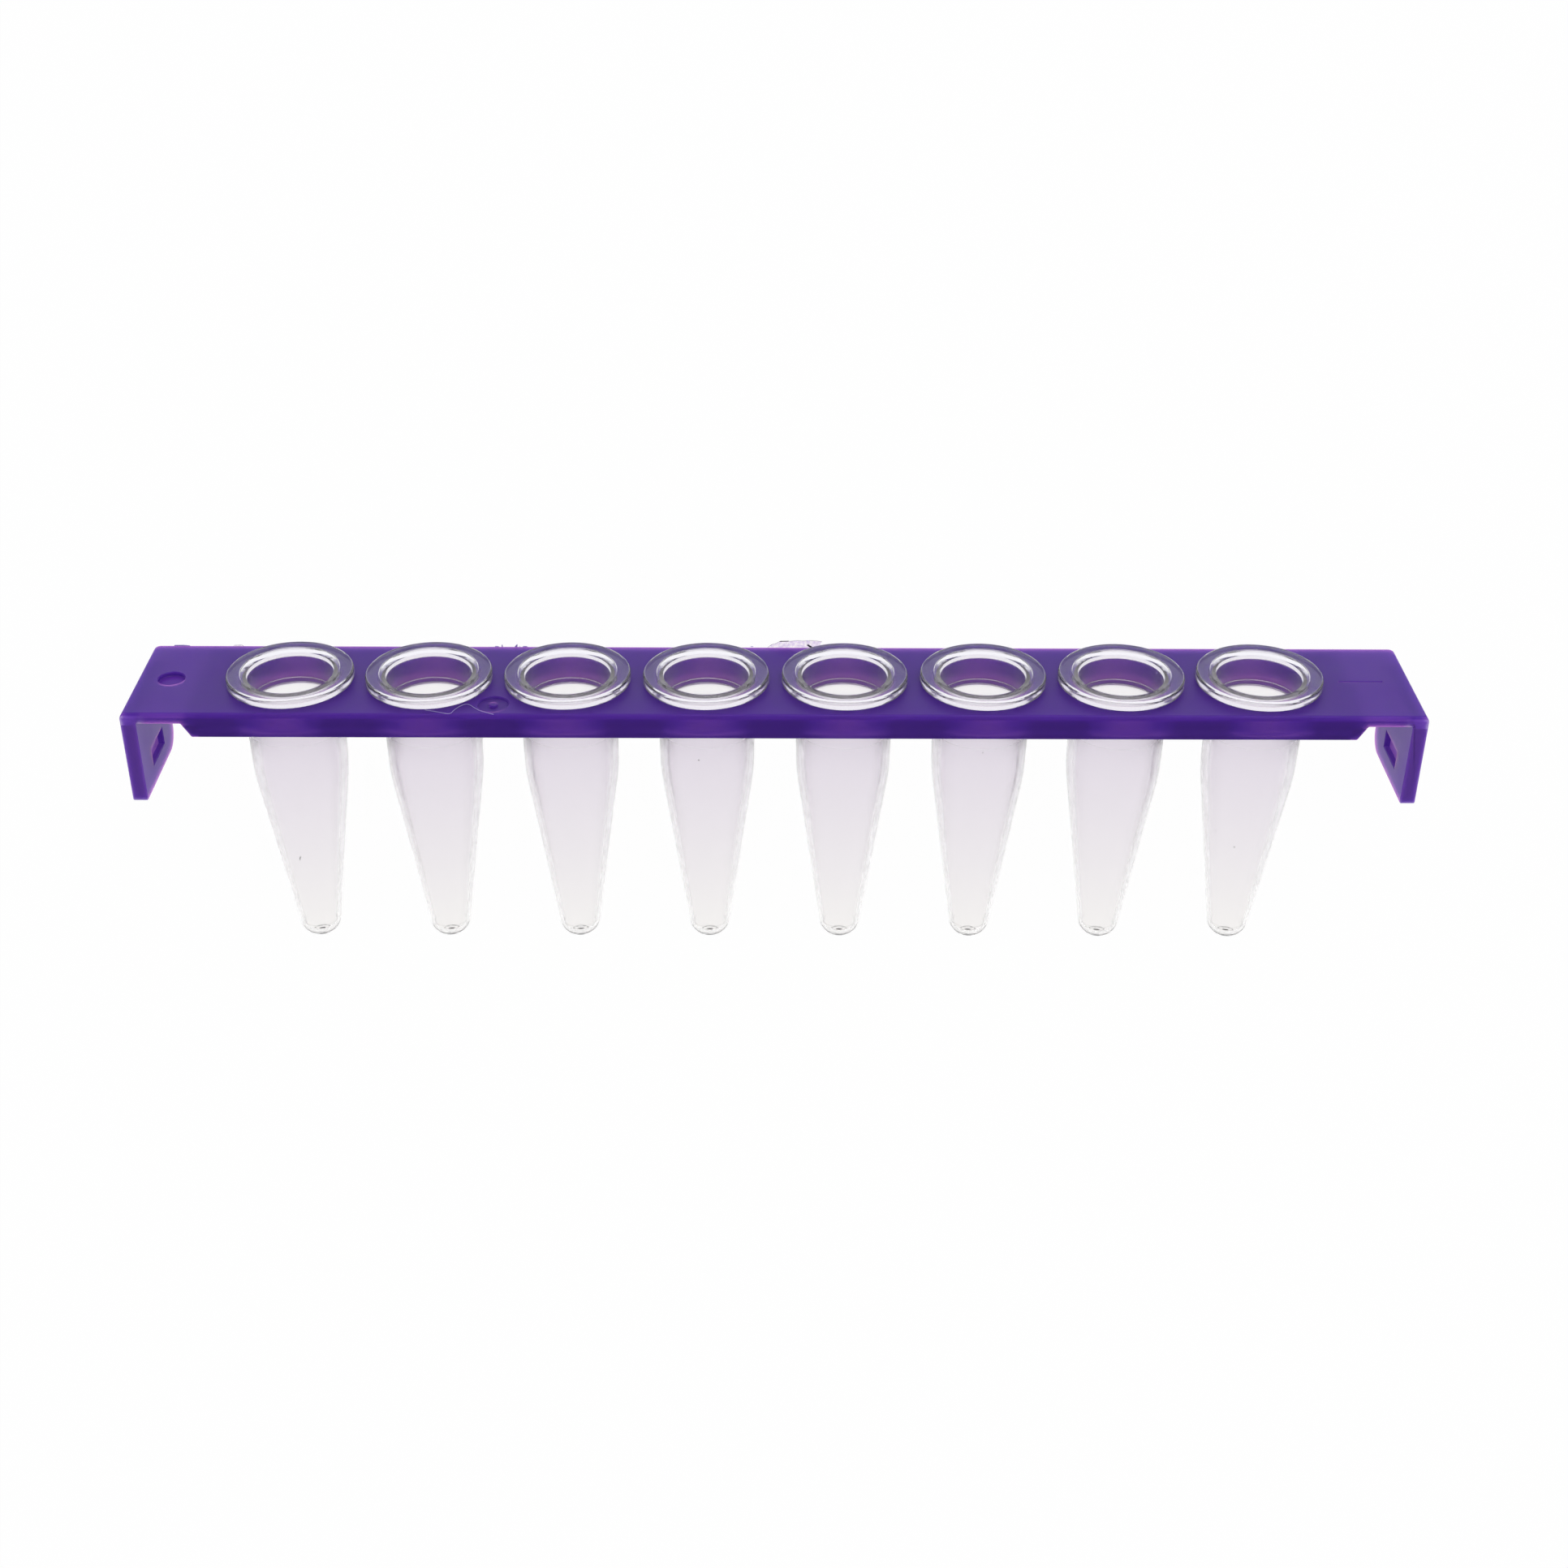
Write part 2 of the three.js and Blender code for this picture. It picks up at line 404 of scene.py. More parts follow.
top_reach = 4 * mm                  # how far light wanders in each part of the frame
back_reach = 6 * mm
bevel_reach = 6.5 * mm
bore_reach = 11 * mm
bore_foot_reach = 2.5 * mm
beam_reach = 3.5 * mm
leg_front_reach = 1.6 * mm
leg_reach = 7 * mm
back_band = 1.3 * mm                # the band along the plate's back edge that glows more
top_skin = 0.06 * mm                # how deep a face still counts as the top, the front, the plate
front_skin = 0.12 * mm
plate_skin = 0.1 * mm
front_lit = 0.02 * mm               # how deep a leg's front keeps its painted lighter tint, and where that and its short reach have faded
front_faded = 0.1 * mm
bore_wall = 0.8 * mm                # the thin wall round a hole
bore_dark = -1.9 * mm               # heights between which a bore turns from dark to bright
bore_bright = -1.3 * mm
beam_bright = 4.7 * mm              # off a tube's axis, where the beam's front turns dark
beam_dark = 5.6 * mm
foot_dark = -1.55 * mm              # heights between which the beam's foot turns bright
foot_bright = -1.1 * mm
foot_glow = 0.08                    # share of the glow that is left along the beam's foot
end_start = 7 * mm                  # off the last tube's axis, where the frame's end starts
leg_start = 9.6 * mm                # and where its leg starts and where the painted lighter tint on its front is in full
leg_full = 10.3 * mm


def light_reach(tree, way, radius):
    """How far light wanders in the plastic before it comes out, set place by place to paint glow
    and shade: far in the thin walls round the holes, on the front bevel and in the legs, and less
    on top, on the front and along the beam's foot."""
    on_plate = add(tree, "ShaderNodeMapRange", {
        "From Min": back - back_band, "From Max": back, "To Min": top_reach, "To Max": back_reach,
    }, {"Value": way["Y"]})
    on_top = add(tree, "ShaderNodeMath", {"operation": "GREATER_THAN", "Value_001": -top_skin}, {
        "Value": way["Z"],
    })
    down_bore = add(tree, "ShaderNodeMapRange", {
        "From Min": bore_dark, "From Max": bore_bright, "To Min": bore_foot_reach, "To Max": bore_reach,
    }, {"Value": way["Z"]})
    at_bore = add(tree, "ShaderNodeMix", {}, {
        "Factor": on_top.outputs["Value"],
        "A": down_bore.outputs["Result"], "B": on_plate.outputs["Result"],
    })
    near_bore = add(tree, "ShaderNodeMath", {
        "operation": "LESS_THAN", "Value_001": hole_radius + bore_wall,
    }, {"Value": radius})
    inward = add(tree, "ShaderNodeMix", {}, {
        "Factor": near_bore.outputs["Value"],
        "A": on_plate.outputs["Result"], "B": at_bore.outputs["Result"],
    })

    along_beam = add(tree, "ShaderNodeMapRange", {
        "From Min": beam_bright, "From Max": beam_dark, "To Min": bore_reach, "To Max": beam_reach,
    }, {"Value": radius})
    foot_share = add(tree, "ShaderNodeMapRange", {
        "From Min": foot_dark, "From Max": foot_bright, "To Min": foot_glow, "To Max": 1,
    }, {"Value": way["Z"]})
    on_beam = add(tree, "ShaderNodeMath", {"operation": "MULTIPLY"}, {
        "Value": along_beam.outputs["Result"], "Value_001": foot_share.outputs["Result"],
    })
    on_front = add(tree, "ShaderNodeMath", {
        "operation": "LESS_THAN", "Value_001": front + front_skin,
    }, {"Value": way["Y"]})
    middle = add(tree, "ShaderNodeMix", {}, {
        "Factor": on_front.outputs["Value"],
        "A": inward.outputs["Result"], "B": on_beam.outputs["Value"],
    })

    on_leg = add(tree, "ShaderNodeMapRange", {
        "From Min": front, "From Max": front + front_faded,
        "To Min": leg_front_reach, "To Max": leg_reach,
    }, {"Value": way["Y"]})
    under_plate = add(tree, "ShaderNodeMath", {
        "operation": "LESS_THAN", "Value_001": -plate_thickness - plate_skin,
    }, {"Value": way["Z"]})
    end = add(tree, "ShaderNodeMix", {}, {
        "Factor": under_plate.outputs["Value"],
        "A": on_plate.outputs["Result"], "B": on_leg.outputs["Result"],
    })
    at_end = add(tree, "ShaderNodeMath", {"operation": "GREATER_THAN", "Value_001": end_start}, {
        "Value": radius,
    })
    whole = add(tree, "ShaderNodeMix", {}, {
        "Factor": at_end.outputs["Value"],
        "A": middle.outputs["Result"], "B": end.outputs["Result"],
    })

    by_front = add(tree, "ShaderNodeMath", {"operation": "LESS_THAN", "Value_001": front + edge_width}, {
        "Value": way["Y"],
    })
    by_top = add(tree, "ShaderNodeMath", {"operation": "GREATER_THAN", "Value_001": -edge_drop}, {
        "Value": way["Z"],
    })
    on_bevel = add(tree, "ShaderNodeMath", {"operation": "MULTIPLY"}, {
        "Value": by_front.outputs["Value"], "Value_001": by_top.outputs["Value"],
    })
    return add(tree, "ShaderNodeMix", {"B": bevel_reach}, {
        "Factor": on_bevel.outputs["Value"], "A": whole.outputs["Result"],
    }).outputs["Result"]


cloud_width = mm / 0.22             # 4.5 mm: faint clouds of pigment where the plastic flowed
grain_width = mm / 9                # 0.11 mm: the mould's real grain is about a fifth of this,
grain_height = 0.02 * mm            # too fine to show, so it is drawn coarser


def purple_polypropylene():
    """The frame's plastic, with a lighter purple painted on the legs' fronts for the light that shows
    through them.
    """
    made, tree = material("purple polypropylene, injection moulded")
    place = standing_place(tree)
    way = add(tree, "ShaderNodeSeparateXYZ", {}, {"Vector": place}).outputs
    radius = off_axis(tree, way)
    clouds = add(tree, "ShaderNodeTexNoise", {
        "Scale": 1 / cloud_width, "Detail": 3, "Roughness": 0.5,
    }, {"Vector": place})
    grain = add(tree, "ShaderNodeTexNoise", {"Scale": 1 / grain_width, "Detail": 2}, {"Vector": place})
    purple = add(tree, "ShaderNodeMix", {
        "data_type": "RGBA", "A": linear("451e84"), "B": linear("4b2289"),
    }, {"Factor": clouds.outputs["Fac"]})
    at_front = add(tree, "ShaderNodeMapRange", {
        "From Min": front + front_lit, "From Max": front + front_faded, "To Min": 1, "To Max": 0,
    }, {"Value": way["Y"]})
    at_leg = add(tree, "ShaderNodeMapRange", {"From Min": leg_start, "From Max": leg_full}, {
        "Value": radius,
    })
    leg_front_painted_light = add(tree, "ShaderNodeMath", {"operation": "MULTIPLY"}, {
        "Value": at_front.outputs["Result"], "Value_001": at_leg.outputs["Result"],
    })
    # Lighter purple painted on the legs' fronts: painted light, for the light that shows through the thin
    # legs.
    tint = add(tree, "ShaderNodeMix", {"data_type": "RGBA", "B": linear("683fa4")}, {
        "Factor": leg_front_painted_light.outputs["Value"], "A": purple.outputs["Result"],
    })
    rough = add(tree, "ShaderNodeMapRange", {
        "From Min": 0.35, "From Max": 0.65, "To Min": 0.34, "To Max": 0.42,
    }, {"Value": clouds.outputs["Fac"]})
    bump = add(tree, "ShaderNodeBump", {"Strength": 0.15, "Distance": grain_height}, {
        "Height": grain.outputs["Fac"],
    })
    plastic = add(tree, "ShaderNodeBsdfPrincipled", {
        "IOR": polypropylene_ior, "Subsurface Weight": 1, "Subsurface Radius": (0.85, 0.9, 0.9),
        "Specular IOR Level": 0.18, "Specular Tint": linear("d8e4ff"),
    }, {
        "Base Color": tint.outputs["Result"], "Roughness": rough.outputs["Result"],
        "Normal": bump.outputs["Normal"], "Subsurface Scale": light_reach(tree, way, radius),
    })
    add(tree, "ShaderNodeOutputMaterial", {}, {"Surface": plastic.outputs["BSDF"]})
    return made


# Light gets into the pigmented plastic, so thin walls and edges glow and the thick beam stays
# dark. The satin skin gives a broad, weak, bluish sheen that is strongest at a low angle.
moulding.data.materials.append(purple_polypropylene())
# The dimple's floor gets a deep purple without sheen or glow: painted shade inside the recess.
moulding.data.materials.append(even_plastic("purple polypropylene, painted dimple shade", "542796", 0.3, 0.1))
stand_up = lie.inverted()
dot_middle = Vector((dot_inset - plate_half, 0, -dot_depth))
just_under = -0.02 * mm
# Faces on the dimple's floor take the painted shade.
for face in moulding.data.polygons:
    spot = stand_up @ face.center
    if spot.z < just_under and (spot - dot_middle).length < dot_radius:
        face.material_index = 1
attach(moulding, "root")
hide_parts("frame")


# Tubes
# Eight thin-walled tubes moulded in clear polypropylene. Each hangs by the flange round its
# mouth, its neck fills a hole of the frame, and its cone ends in a rounded tip with a gate mark.

flange_radius = 4.1 * mm
flange_seat = 0.02 * mm             # the flange's underside above the plate
flange_chamfer = 0.05 * mm
flange_round = 0.2 * mm
neck_radius = 3.2 * mm
neck_foot = -2.65 * mm
shoulder_radius = 3.1 * mm
shoulder_height = rim_height - 7.3 * mm
shoulder_wall = 0.55 * mm
shoulder_bend = 1 * mm
bore_radius = 2.75 * mm
lip_round = 0.08 * mm               # from the rim into the lead-in
lip_shift = 0.05 * mm               # its centre, past the lead-in's edge
lead_in_width = 0.45 * mm
lead_in_depth = 0.2 * mm
lead_in_taper = 0.06 * mm           # what is left to taper off over the next stretch
lead_in_stretch = 0.2 * mm
ledge_depth = 2 * mm                # fine ledge round the bore
ledge_width = 0.15 * mm
ledge_height = 0.3 * mm
ledge_slope = 0.01 * mm
tip_wall = 0.3 * mm
floor_depth = 0.9 * mm
floor_step = 0.025 * mm             # a fine step round the inner floor
floor_rise = 0.02 * mm
dome_depth = 1.24 * mm
stub_foot = tip_centre - tip_radius + 0.03 * mm
stub_radius = 0.28 * mm
stub_chamfer = 0.02 * mm
crater_depth = 0.3 * mm             # the stub's hollow end
groove_radius = 0.62 * mm
groove_width = 0.07 * mm
groove_depth = 0.03 * mm
tube_sides = 156


def touching_lean(out, above, radius):
    """Lean, from upright, of the line that touches a circle on the axis and passes a point."""
    return math.acos(radius / math.hypot(out, above)) - math.atan2(above, out)


def bend(start, corner, end, steps):
    """Points of a smooth turn from one point to another, pulled towards the corner."""
    points = []
    for step in range(steps + 1):
        t = step / steps
        pulls = list(zip(((1 - t) ** 2, 2 * t * (1 - t), t ** 2), (start, corner, end)))
        points.append(tuple(sum(pull * point[axis] for pull, point in pulls) for axis in (0, 1)))
    return points


def towards(start, end, share):
    return tuple(s + (e - s) * share for s, e in zip(start, end))


def wall(radius, shoulder, end, tip):
    """One side of the wall: from the tip up the cone and round the shoulder to the end."""
    lean = touching_lean(shoulder[0], shoulder[1] - tip_centre, radius)
    below = (shoulder[0] - shoulder_bend * math.sin(lean), shoulder[1] - shoulder_bend * math.cos(lean))
    above = towards(shoulder, end, shoulder_bend / math.dist(shoulder, end))
    change = towards(above, end, (neck_foot - above[1]) / (end[1] - above[1]))
    return tip(lean) + bend(below, shoulder, above, 6) + [change, end]


def outer_tip(lean):
    """The dome from the gate to the cone: a stub with a hollow end, and a fine groove round it."""
    section = [(0, stub_foot + crater_depth), (0.35 * stub_radius, stub_foot + 0.6 * crater_depth)]
    section += [(0.6 * stub_radius, stub_foot), (0.9 * stub_radius, stub_foot + stub_chamfer)]
    section.append((stub_radius, stub_foot + tip_radius - dome_depth))
    turns = [math.radians(-90 + (90 - math.degrees(lean)) * step / 18) for step in range(19)]
    dome = [(tip_radius * math.cos(t), tip_centre + dome_depth * math.sin(t)) for t in turns]
    section += [point for point in dome if 1.1 * stub_radius < point[0] < groove_radius - groove_width]
    for across, down in ((-1, 0), (-0.5, 1), (0.5, 1), (1, 0)):
        out = groove_radius + across * groove_width / 2
        drop = dome_depth * math.sqrt(1 - (out / tip_radius) ** 2)
        section.append((out, tip_centre - drop + down * groove_depth))
    return section + [point for point in dome if point[0] > groove_radius + groove_width]


def inner_tip(lean):
    """The bore's flat-domed floor, with a fine step where it meets the cone at any lean."""
    radius = tip_radius - tip_wall
    turns = [math.radians(-90 + 90 * step / 12) for step in range(13)]
    floor = [((radius - floor_step) * math.cos(t), tip_centre + floor_depth * math.sin(t)) for t in turns]
    floor[0] = (0, floor[0][1])
    return floor + [(radius, tip_centre + floor_rise)]


def tube_section():
    """Half section of a tube: up its outside, over the flange and the rim, and down its bore."""
    shoulder = (shoulder_radius, shoulder_height)
    section = wall(tip_radius, shoulder, (neck_radius, flange_seat), outer_tip)
    section.append((flange_radius - flange_chamfer, flange_seat))
    section.append((flange_radius, flange_seat + flange_chamfer))
    section += arc((flange_radius - flange_round, rim_height - flange_round), flange_round, 0, 90, 5)
    lip = bore_radius + lead_in_width + lip_shift
    section += arc((lip, rim_height - lip_round), lip_round, 90, 150, 4)
    lead_in_foot = rim_height - lead_in_depth
    section += [(bore_radius + lead_in_taper, lead_in_foot), (bore_radius, lead_in_foot - lead_in_stretch)]
    ledge_top = rim_height - ledge_depth
    ledge_edge = bore_radius - ledge_width / 2
    section += [(bore_radius, ledge_top), (ledge_edge, ledge_top - ledge_slope)]
    section.append((ledge_edge, ledge_top - ledge_height))
    ledge_foot = (bore_radius - ledge_width, ledge_top - ledge_height - ledge_slope)
    inner_shoulder = (shoulder_radius - shoulder_wall, shoulder_height)
    bore = wall(tip_radius - tip_wall, inner_shoulder, ledge_foot, inner_tip)
    return section + bore[::-1]


def tube_row_tree(finishes):
    """Geometry Nodes: copies one tube along the row, each turned on its own axis by chance."""
    tree = bpy.data.node_groups.new("tube row", "GeometryNodeTree")
    inputs = {
        "Tube": "NodeSocketGeometry", "Count": "NodeSocketInt", "Pitch": "NodeSocketFloat",
        "First": "NodeSocketFloat", "Seed": "NodeSocketInt",
    }
    for name, kind in inputs.items():
        tree.interface.new_socket(name, in_out="INPUT", socket_type=kind)
    tree.interface.new_socket("Row", in_out="OUTPUT", socket_type="NodeSocketGeometry")
    given = add(tree, "NodeGroupInput").outputs
    start = add(tree, "ShaderNodeCombineXYZ", {}, {"X": given["First"]})
    step = add(tree, "ShaderNodeCombineXYZ", {}, {"X": given["Pitch"]})
    line = add(tree, "GeometryNodeMeshLine", {}, {
        "Count": given["Count"],
        "Start Location": start.outputs["Vector"], "Offset": step.outputs["Vector"],
    })
    chance = add(tree, "FunctionNodeRandomValue", {"data_type": "FLOAT", "Max": 2 * math.pi}, {
        "Seed": given["Seed"],
    })
    turn = add(tree, "ShaderNodeCombineXYZ", {}, {"Z": chance.outputs["Value"]})
    copies = add(tree, "GeometryNodeInstanceOnPoints", {}, {
        "Points": line.outputs["Mesh"], "Instance": given["Tube"], "Rotation": turn.outputs["Vector"],
    })
    last = add(tree, "GeometryNodeRealizeInstances", {}, {"Geometry": copies.outputs["Instances"]})
    for zone, finish in finishes.items():
        where = add(tree, "GeometryNodeInputNamedAttribute", {"data_type": "BOOLEAN", "Name": zone})
        last = add(tree, "GeometryNodeSetMaterial", {"Material": finish}, {
            "Geometry": last.outputs["Geometry"], "Selection": where.outputs["Attribute"],
        })
    add(tree, "NodeGroupOutput", {}, {"Row": last.outputs["Geometry"]})
    return tree


streak_width = mm / 0.7             # 1.4 mm: faint flow streaks that run up the tube
streak_stretch = 0.12               # their width over their length
streak_height = 0.04 * mm


def clear_polypropylene(name, colour, roughness, clearness):
    """Clear plastic with flow streaks. It passes light and bends it, and mirrors little."""
    made, tree = material(name)
    drawn = add(tree, "ShaderNodeMapping", {"Scale": (1, 1, streak_stretch)}, {
        "Vector": standing_place(tree),
    })
    streaks = add(tree, "ShaderNodeTexNoise", {"Scale": 1 / streak_width, "Detail": 2}, {
        "Vector": drawn.outputs["Vector"],
    })
    bump = add(tree, "ShaderNodeBump", {"Strength": 0.5, "Distance": streak_height}, {
        "Height": streaks.outputs["Fac"],
    })
    plastic = add(tree, "ShaderNodeBsdfPrincipled", {
        "Base Color": linear(colour), "IOR": polypropylene_ior, "Roughness": roughness,
        "Transmission Weight": clearness, "Specular Tint": linear("000000"),
    }, {"Normal": bump.outputs["Normal"]})
    add(tree, "ShaderNodeOutputMaterial", {}, {"Surface": plastic.outputs["BSDF"]})
    return made


cone_foot = -20 * mm                # heights between which the cone clouds over
cone_head = -3 * mm
haze_foot = -5 * mm                 # and between which it turns hazy at the shoulder
haze_head = -2.9 * mm


def thin_wall():
    """The cone's plastic, which hazes a little towards the thicker shoulder, where a faint
    lavender is painted in as a reflection of the purple frame.
    """
    made, tree = material("clear polypropylene, thin wall")
    height = add(tree, "ShaderNodeSeparateXYZ", {}, {"Vector": standing_place(tree)}).outputs["Z"]
    cone = {"From Min": cone_foot, "From Max": cone_head}
    haze = add(tree, "ShaderNodeMapRange", {
        "From Min": haze_foot, "From Max": haze_head, "To Min": 0.1, "To Max": 0.32,
    }, {"Value": height})
    clear = add(tree, "ShaderNodeMapRange", {**cone, "To Min": 0.98, "To Max": 0.937}, {"Value": height})
    up_cone = add(tree, "ShaderNodeMapRange", cone, {"Value": height})
    # A faint lavender towards the shoulder: painted reflection of the purple frame.
    tint = add(tree, "ShaderNodeMix", {
        "data_type": "RGBA", "A": linear("fdfcfb"), "B": linear("f8f4fa"),
    }, {"Factor": up_cone.outputs["Result"]})
    plastic = add(tree, "ShaderNodeBsdfPrincipled", {
        "IOR": polypropylene_ior, "Specular Tint": linear("000000"),
    }, {
        "Base Color": tint.outputs["Result"], "Roughness": haze.outputs["Result"],
        "Transmission Weight": clear.outputs["Result"],
    })
    add(tree, "ShaderNodeOutputMaterial", {}, {"Surface": plastic.outputs["BSDF"]})
    return made


finishes = {
    # A polished mould leaves the mouth as clear as glass, with bright lines round its rims.
    "mouth": clear_polypropylene("clear polypropylene, polished", "f8f7fd", 0.07, 1),
    # The flange's outer wall scatters a little light, so it reads as a white band.
    "edge": clear_polypropylene("clear polypropylene, satin", "fbf6ff", 0.12, 0.85),
    # The neck is left rough to seat in its hole, which blurs the purple behind it.
    "neck": clear_polypropylene("clear polypropylene, unpolished", "fbf9fa", 0.32, 0.97),
    # The thin cone is nearly invisible but for its edges, a slight grey tint, and a faint
    #     # lavender painted near the shoulder as a reflection of the frame.
    "cone": thin_wall(),
    # The stub where the plastic was let in and the fine groove round it get a dark grey, nearly
    #     # opaque finish: painted shade, for the shaded stub and the dark line round the tip.
    "gate": clear_polypropylene("polypropylene gate, painted shade", "3a363e", 0.4, 0.1),
}
face_margin = 0.01 * mm
one_tube = bmesh.new()
turned(one_tube, tube_section(), tube_sides)
zones = {zone: one_tube.faces.layers.bool.new(zone) for zone in finishes}
groove_top = tip_centre - 0.9 * dome_depth + 2 * groove_depth
stub_top = stub_foot + crater_depth + face_margin
for face in one_tube.faces:
    middle = face.calc_center_median()
    out = middle.xy.length
    in_stub = out < 1.05 * stub_radius and middle.z < stub_top
    in_groove = abs(out - groove_radius) < 0.25 * groove_width and middle.z < groove_top
    # The stub and the groove take the dark gate finish, which is painted shade.
    if in_stub or in_groove:
        zone = "gate"
    elif middle.z < neck_foot:
        zone = "cone"
    elif middle.z < flange_seat - face_margin:
        zone = "neck"
    elif out > flange_radius - flange_chamfer and middle.z < rim_height - 0.9 * flange_round:
        zone = "edge"
    else:
        zone = "mouth"
    face[zones[zone]] = True
tubes = solid("tubes", one_tube)
tubes.data.shade_smooth()
tubes.data.set_sharp_from_angle(angle=math.radians(22))
row = tubes.modifiers.new("tube row", "NODES")
row.node_group = tube_row_tree(finishes)
sockets = {item.name: item.identifier for item in row.node_group.interface.items_tree}
row[sockets["Count"]] = tube_count
row[sockets["Pitch"]] = pitch
row[sockets["First"]] = first_tube
row[sockets["Seed"]] = 4
applied(tubes)
tubes.data.transform(lie)
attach(tubes, "root")
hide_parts(*tube_names)


# Flash film
# A torn film of polypropylene that crept between the mould's halves and stands up along the
# plate's back edge. It is far thinner than the plate and stretched until it went pale.

flash_thickness = 0.05 * mm
flash_place = back - edge_width - 0.02 * mm


def film(form, outline):
    """Adds a film along the plate's back edge, from an outline of (x, z) in millimetres."""
    prism(form, [(x * mm, flash_place, z * mm) for x, z in outline], (0, -flash_thickness, 0))


films = bmesh.new()
film(films, [
    (-0.6, -0.1), (-0.45, 0.08), (-0.26, 0.22), (0.05, 0.32), (0.28, 0.46), (0.95, 0.47), (1.1, 0.49),
    (1.5, 0.53), (1.85, 0.5), (2.3, 0.53), (2.8, 0.5), (3.1, 0.45), (3, 0.3), (3.05, -0.1),
])
film(films, [(-36.3, -0.1), (-36.1, 0.06), (-35.6, 0.07), (-35.4, -0.1)])
film(films, [(-17.2, -0.1), (-17.1, 0.07), (-16.98, -0.1)])
flash = solid("flash_film", films)
flash.data.transform(lie)

# Stretching left it clear with milky patches, so it shows as a pale lilac shred.
mottle_width = mm / 4.5             # 0.22 mm
torn, tree = material("polypropylene flash, stretched pale")
mottle = add(tree, "ShaderNodeTexNoise", {"Scale": 1 / mottle_width, "Detail": 3}, {
    "Vector": standing_place(tree),
})
patches = add(tree, "ShaderNodeMapRange", {"From Min": 0.4, "From Max": 0.62}, {
    "Value": mottle.outputs["Fac"],
})
pale = add(tree, "ShaderNodeMix", {"data_type": "RGBA", "A": linear("fff9ff"), "B": linear("e9daf6")}, {
    "Factor": patches.outputs["Result"],
})
plastic = add(tree, "ShaderNodeBsdfPrincipled", {
    "IOR": polypropylene_ior, "Roughness": 0.25, "Transmission Weight": 0.93,
    "Specular Tint": linear("000000"),
}, {"Base Color": pale.outputs["Result"]})
add(tree, "ShaderNodeOutputMaterial", {}, {"Surface": plastic.outputs["BSDF"]})
flash.data.materials.append(torn)
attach(flash, "root")


# Flash tufts and curls
# Scraps of the same flash that stretched less and so stayed denser: short tufts that stand
# along the plate's back edge, and two dark curls, at the top and near the foot of the film.

scraps = {
    # Tufts are thin enough to pass some light, which leaves them a greyed lilac.
    "flash_tufts": ("bfaeea", [
        [(-40.2, -0.1), (-40.1, 0.06), (-39.5, 0.07), (-39.1, 0.03), (-39, -0.1)],
        [(-18.8, -0.1), (-18.7, 0.05), (-18.5, 0.04), (-18.4, -0.1)],
        [(-18.3, -0.1), (-18.27, 0.16), (-18.22, 0.15), (-18.2, -0.1)],
        [(-17.5, -0.1), (-17.33, 0.12), (-17.25, 0.19), (-17.22, 0.15), (-17.25, -0.1)],
        [(-16.95, -0.1), (-16.85, 0.05), (-16.6, 0.05), (-16.5, -0.1)],
        [(-1.66, 0.06), (-1.62, 0.09), (-1.5, 0.09), (-1.48, 0.06)],
        [(2.05, 0.5), (2.1, 0.53), (2.17, 0.51), (2.11, 0.48)],
    ]),
    # Curls are rolled on themselves and read as nearly black strokes.
    "flash_curls": ("1d1428", [
        [(0.26, 0.42), (0.34, 0.49), (0.9, 0.5), (0.9, 0.47), (0.38, 0.45)],
        [(2.1, 0.19), (2.18, 0.26), (2.46, 0.07), (2.44, -0.02), (2.33, 0)],
    ]),
}
for name, (colour, outlines) in scraps.items():
    form = bmesh.new()
    for outline in outlines:
        film(form, outline)
    bits = solid(name, form)
    bits.data.transform(lie)
    finish = "purple polypropylene, torn " + name.removeprefix("flash_")
    bits.data.materials.append(even_plastic(finish, colour, 0.5))
    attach(bits, "root")


# Flash hair
# A hair of the frame's polypropylene, pulled out when the gate was cut. It lies loose on the
# plate between the second and the third tube, held by its own static charge.

hair_radius = 0.02 * mm
hair_height = 0.015 * mm
hair_path = [
    (-22.22, -4.13), (-21.35, -4.39), (-20.57, -4.69), (-20.42, -4.2), (-20.2, -3.77),
    (-19.77, -3.32), (-19.48, -3.41), (-19.08, -3.9), (-18.62, -4.32), (-17.82, -4.67),
]
curve = bpy.data.curves.new("hair", "CURVE")
curve.dimensions = "3D"
curve.bevel_depth = hair_radius
curve.bevel_resolution = 1
strand = curve.splines.new("NURBS")
strand.points.add(len(hair_path) - 1)
strand.use_endpoint_u = True
strand.order_u = 3
for point, (x, y) in zip(strand.points, hair_path):
    point.co = (x * mm, y * mm, hair_height, 1)
drawn = bpy.data.objects.new("hair", curve)
bpy.context.scene.collection.objects.link(drawn)
hair = bpy.data.objects.new("flash_hair", bpy.data.meshes.new_from_object(drawn))
bpy.data.objects.remove(drawn)
bpy.context.scene.collection.objects.link(hair)
hair.data.transform(lie)
hair.data.materials.clear()
# Drawn thin, the purple turns to a light lilac that stands out from the plate.
hair.data.materials.append(even_plastic("polypropylene hair, pale", "a597cf", 0.45))
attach(hair, "root")


# Burnt specks
# Tiny flakes of polypropylene that stuck in the hot machine, burnt, and came loose into the
# walls of four tubes. They lie flat in the front of the wall.

